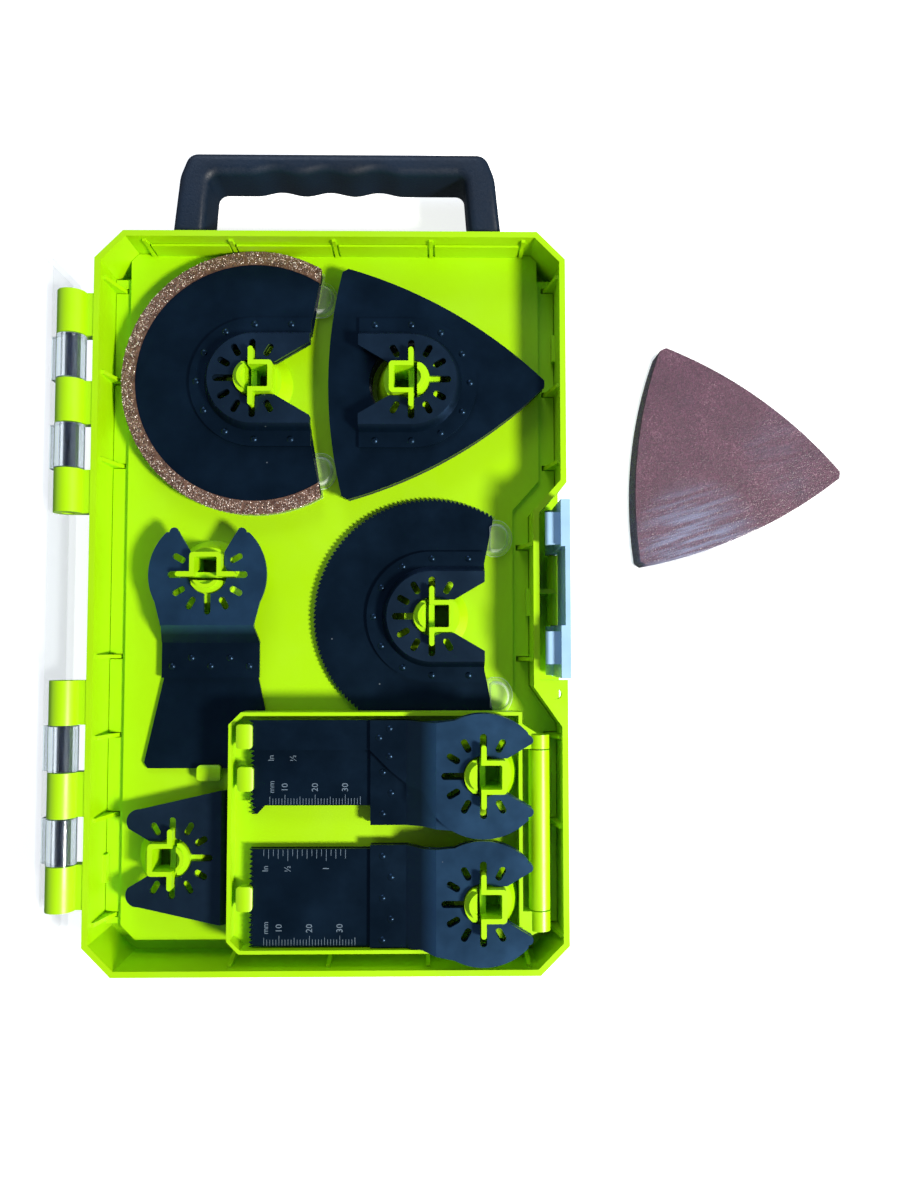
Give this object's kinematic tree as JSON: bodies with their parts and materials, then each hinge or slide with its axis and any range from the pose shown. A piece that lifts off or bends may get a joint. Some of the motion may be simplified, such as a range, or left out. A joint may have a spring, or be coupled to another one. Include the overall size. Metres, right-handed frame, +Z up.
{
  "type": "oscillating multi-tool accessory kit",
  "caption": "Hinged carry case with handle, latch and clear lid, holding saw, grit and scraper blades, a delta sanding pad and a flip-up tray, with a pack of sanding sheets.",
  "frame": {"origin": "centre of the case base's underside", "axes": "+Z up out of the open case, +Y towards the handle, +X towards the latch; the lid lies open on the -X side"},
  "size_m": [0.4306, 0.2772, 0.0363],
  "materials": {
    "lime_plastic": "moulded plastic with a soft gloss",
    "clear_plastic": "clear moulded plastic",
    "hinge_pin_plastic": "dark blue-black",
    "latch_plastic": "light grey-blue, soft gloss",
    "pin_steel": "plain steel",
    "handle_plastic": "fine-textured blue-black",
    "blade_steel": "blue-black coated sheet steel, satin",
    "carbide_grit": "copper-brown brazed grit",
    "guard_plastic": "clear thin plastic",
    "pad_foam": "dense foam",
    "hook_fabric": "hook-and-loop layer",
    "abrasive_sheet": "plum-brown grit on fabric backing",
    "shrink_film": "clear wrinkled film"
  },
  "bodies": {
    "case": {"case_base": "lime_plastic", "insert_panel": "lime_plastic", "hinge_pin_upper": "hinge_pin_plastic", "hinge_pin_lower": "hinge_pin_plastic", "latch_pin": "pin_steel", "handle": "handle_plastic", "tray_hinge_bar": "lime_plastic", "tray_hinge_pin": "pin_steel"},
    "lid": {"case_lid": "clear_plastic"},
    "latch": {"latch": "latch_plastic"},
    "tray": {"tray": "lime_plastic"},
    "metal_segment_blade": {"metal_segment_plate": "blade_steel", "metal_segment_hub": "blade_steel", "metal_segment_guard": "guard_plastic"},
    "grit_blade": {"grit_plate": "blade_steel", "grit_rim": "carbide_grit", "grit_hub": "blade_steel"},
    "wood_segment_blade": {"wood_segment_plate": "blade_steel", "wood_segment_hub": "blade_steel", "wood_segment_guard": "guard_plastic"},
    "sanding_pad": {"pad_hub": "blade_steel", "pad_plate": "blade_steel", "pad_foam": "pad_foam", "pad_hook_layer": "hook_fabric"},
    "scraper": {"scraper_plate": "blade_steel", "scraper_hub": "blade_steel"},
    "flush_cut_blade": {"flush_cut_plate": "blade_steel", "flush_cut_hub": "blade_steel"},
    "plunge_under_blade": {"plunge_under_plate": "blade_steel", "plunge_under_hub": "blade_steel"},
    "plunge_top_blade": {"plunge_top_plate": "blade_steel", "plunge_top_hub": "blade_steel"},
    "flared_blade": {"flared_plate": "blade_steel", "flared_hub": "blade_steel"},
    "bimetal_blade": {"bimetal_plate": "blade_steel", "bimetal_hub": "blade_steel"},
    "narrow_blade": {"narrow_plate": "blade_steel", "narrow_hub": "blade_steel"},
    "sheet_pack": {"sanding_sheets": "abrasive_sheet", "sheet_wrap": "shrink_film"}
  },
  "joints": [
    {"name": "lid_hinge", "type": "hinge", "parent": "case", "child": "lid", "pos_m": [-0.0865, 0, 0.025], "axis": [0, -1, 0], "range_deg": [-180, 0]},
    {"name": "latch_hinge", "type": "hinge", "parent": "case", "child": "latch", "pos_m": [0.0772, 0, 0.008], "axis": [0, 1, 0], "range_deg": [-3, 90]},
    {"name": "tray_hinge", "type": "hinge", "parent": "case", "child": "tray", "pos_m": [0.07, 0, 0.0215], "axis": [0, 1, 0], "range_deg": [0, 85]},
    {"name": "metal_segment_lift", "type": "slide", "parent": "case", "child": "metal_segment_blade", "axis": [0, 0, 1], "range_m": [0, 0.06]},
    {"name": "grit_lift", "type": "slide", "parent": "metal_segment_blade", "child": "grit_blade", "axis": [0, 0, 1], "range_m": [0, 0.04]},
    {"name": "wood_segment_tilt", "type": "hinge", "parent": "case", "child": "wood_segment_blade", "pos_m": [0.0343, -0.0486, 0.0174], "axis": [1, 0, 0], "range_deg": [0, 20]},
    {"name": "sanding_pad_lift", "type": "slide", "parent": "case", "child": "sanding_pad", "axis": [0, 0, 1], "range_m": [0, 0.06]},
    {"name": "scraper_tilt", "type": "hinge", "parent": "case", "child": "scraper", "pos_m": [-0.0416, -0.0585, 0.0184], "axis": [1, 0, 0], "range_deg": [0, 11]},
    {"name": "flush_cut_tilt", "type": "hinge", "parent": "case", "child": "flush_cut_blade", "pos_m": [0.0222, -0.0875, 0.0161], "axis": [0, 1, 0], "range_deg": [0, 2.3]},
    {"name": "plunge_under_tilt", "type": "hinge", "parent": "tray", "child": "plunge_under_blade", "pos_m": [-0.0262, -0.0994, 0.03], "axis": [0, -1, 0], "range_deg": [0, 30]},
    {"name": "plunge_top_tilt", "type": "hinge", "parent": "plunge_under_blade", "child": "plunge_top_blade", "pos_m": [-0.0262, -0.0994, 0.0325], "axis": [0, -1, 0], "range_deg": [0, 30]},
    {"name": "flared_tilt", "type": "hinge", "parent": "tray", "child": "flared_blade", "pos_m": [-0.0262, -0.0583, 0.03], "axis": [0, -1, 0], "range_deg": [0, 30]},
    {"name": "bimetal_tilt", "type": "hinge", "parent": "flared_blade", "child": "bimetal_blade", "pos_m": [-0.0262, -0.0583, 0.0325], "axis": [0, -1, 0], "range_deg": [0, 30]},
    {"name": "narrow_tilt", "type": "hinge", "parent": "bimetal_blade", "child": "narrow_blade", "pos_m": [-0.0262, -0.0583, 0.035], "axis": [0, -1, 0], "range_deg": [0, 30]},
    {"name": "sheet_pack_lift", "type": "slide", "parent": "case", "child": "sheet_pack", "axis": [0, 0, 1], "range_m": [0, 0.06]}
  ]
}
